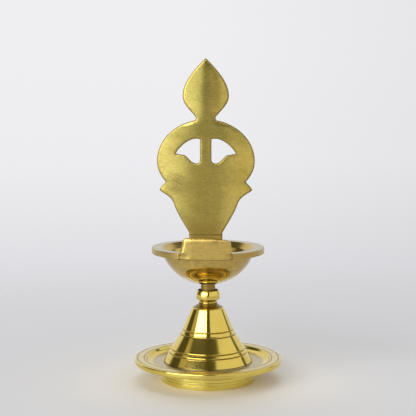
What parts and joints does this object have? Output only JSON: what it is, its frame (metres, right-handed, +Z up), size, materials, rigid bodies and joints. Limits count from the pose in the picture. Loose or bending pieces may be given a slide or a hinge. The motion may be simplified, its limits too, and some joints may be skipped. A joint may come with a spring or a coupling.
{
  "type": "standing oil lamp",
  "caption": "Standing oil lamp: a dish foot, a hollow cone stem with a collar, an oil bowl on a screwed peg, and a flat pierced back plate with a leaf-shaped finial.",
  "frame": {"origin": "centre of the foot ring's underside, on the surface that the lamp stands on", "axes": "+Z up along the lamp's turned axis; -Y towards the plain side of the back plate; +X to the right seen from that side"},
  "size_m": [0.07, 0.07, 0.1519],
  "materials": {
    "dish_brass": "turned satin with a brushed rim",
    "stem_brass": "turned and mirror polished",
    "peg_brass": "dull, aged, unpolished",
    "bowl_brass": "satin, hand polished casting",
    "bracket_brass": "filed, matte",
    "plate_brass": "cast, belt brushed to a satin",
    "fastener_brass": "machined, unpolished"
  },
  "bodies": {
    "stand": {"base_plate": "dish_brass", "stem_cone": "stem_brass", "tie_stud": "fastener_brass", "tie_washer": "fastener_brass", "tie_nut": "fastener_brass"},
    "peg": {"spigot": "peg_brass"},
    "bowl_top": {"oil_bowl": "bowl_brass", "plate_bracket": "bracket_brass", "back_plate": "plate_brass"}
  },
  "joints": [
    {"name": "spigot_travel", "type": "slide", "parent": "stand", "child": "peg", "axis": [0, 0, 1], "range_m": [0, 0.0063]},
    {"name": "bowl_turn", "type": "hinge", "parent": "peg", "child": "bowl_top", "pos_m": [0, 0, 0.046], "axis": [0, 0, 1], "range_deg": [0, 1800]}
  ],
  "couplings": [
    {"joint": "spigot_travel", "follows": "bowl_turn", "m_per_rad": 0.00019894}
  ]
}
